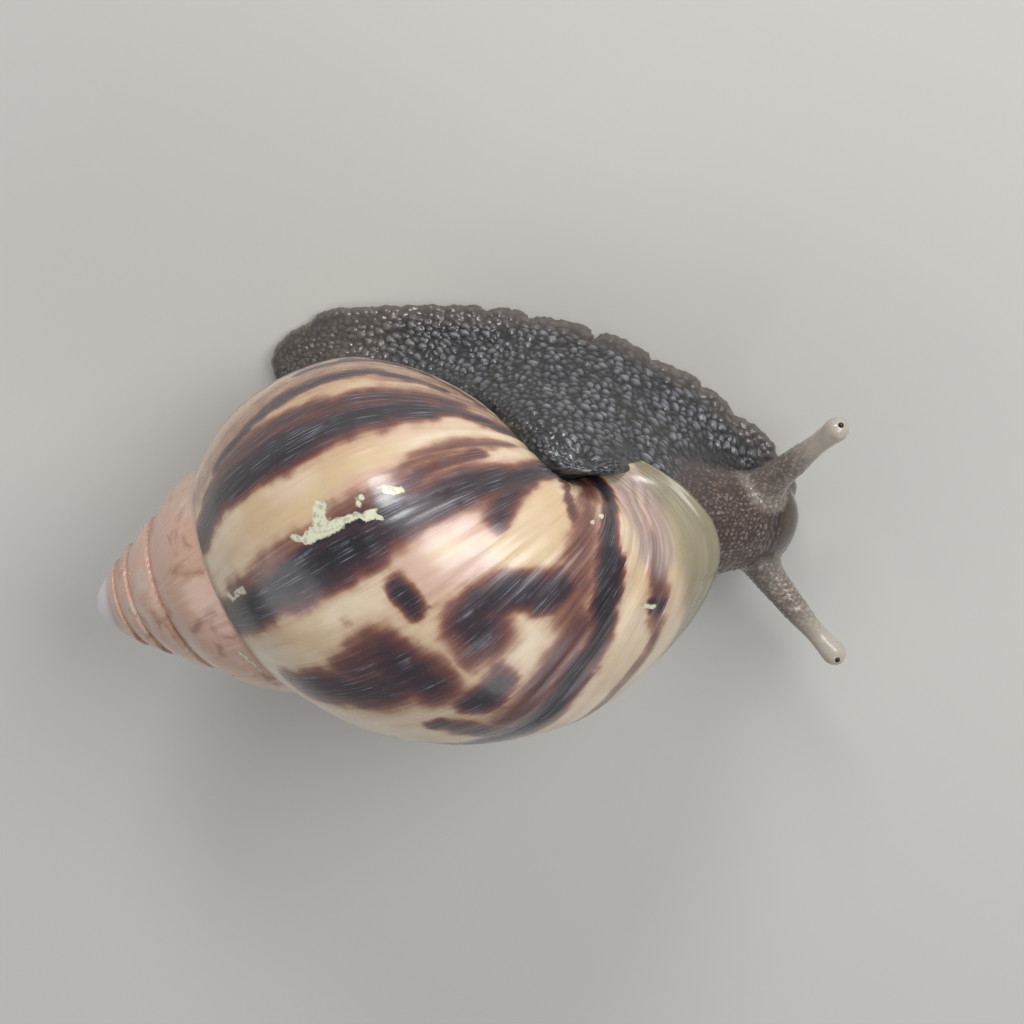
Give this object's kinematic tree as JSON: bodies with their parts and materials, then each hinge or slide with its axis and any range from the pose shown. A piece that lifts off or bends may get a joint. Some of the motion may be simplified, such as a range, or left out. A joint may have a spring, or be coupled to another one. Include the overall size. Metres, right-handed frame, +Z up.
{
  "type": "giant african land snail",
  "caption": "Crawling giant land snail with its head and four tentacles out and a tall blotched spiral shell carried over its foot.",
  "frame": {"origin": "middle of the sole of the foot, on the floor", "axes": "+X the way the snail crawls, +Y its left side, +Z up"},
  "size_m": [0.0892, 0.0519, 0.0482],
  "materials": {
    "shell": "glossy cream shell with chestnut to purplish-black flames and blotches",
    "flank": "wet slate-grey skin with raised tubercles",
    "neck": "wet taupe-brown skin with rows of fine tubercles",
    "tentacle": "wet translucent grey-brown skin",
    "mantle": "wet smooth skin",
    "eye": "glossy black"
  },
  "bodies": {
    "root": {"shell": "shell", "mantle_collar": "mantle", "tail": "flank", "foot_middle": "flank", "foot_front": "flank", "trunk": "flank", "neck": "neck", "head": "neck", "mouth_lobe_left": "neck", "mouth_lobe_right": "neck", "tentacle_lower_left": "tentacle", "tentacle_lower_right": "tentacle", "tentacle_left_root": "tentacle", "tentacle_left_tip": "tentacle", "tentacle_right_root": "tentacle", "tentacle_right_tip": "tentacle", "eye_left": "eye", "eye_right": "eye"}
  },
  "joints": []
}
